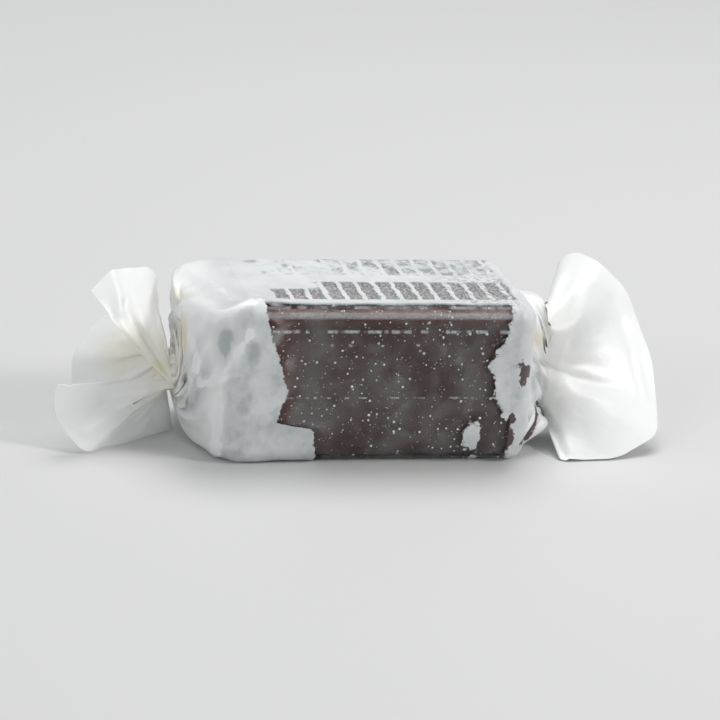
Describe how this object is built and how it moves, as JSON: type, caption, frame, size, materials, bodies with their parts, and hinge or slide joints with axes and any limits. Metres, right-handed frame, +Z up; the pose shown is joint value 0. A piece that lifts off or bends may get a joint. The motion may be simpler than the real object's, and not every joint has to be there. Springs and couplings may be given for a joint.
{
  "type": "twist-wrapped salted caramel candy",
  "caption": "Block of dark caramel with ribs pressed into its top, rolled in a sheet of waxed paper that is twisted at both ends and opens into fans. Lies flat on its underside.",
  "frame": {"origin": "middle of the flat underside of the wrapped block, on the surface that the sweet lies on", "axes": "+X along the sweet towards the wide flat fan, +Y towards the face with the paper's lap, +Z up"},
  "size_m": [0.0774, 0.0241, 0.0208],
  "materials": {
    "caramel": "dark caramel, soft shine",
    "waxed_paper": "white waxed paper, satin, slightly see-through"
  },
  "bodies": {
    "root": {"caramel": "caramel", "wrapper": "waxed_paper"}
  },
  "joints": []
}
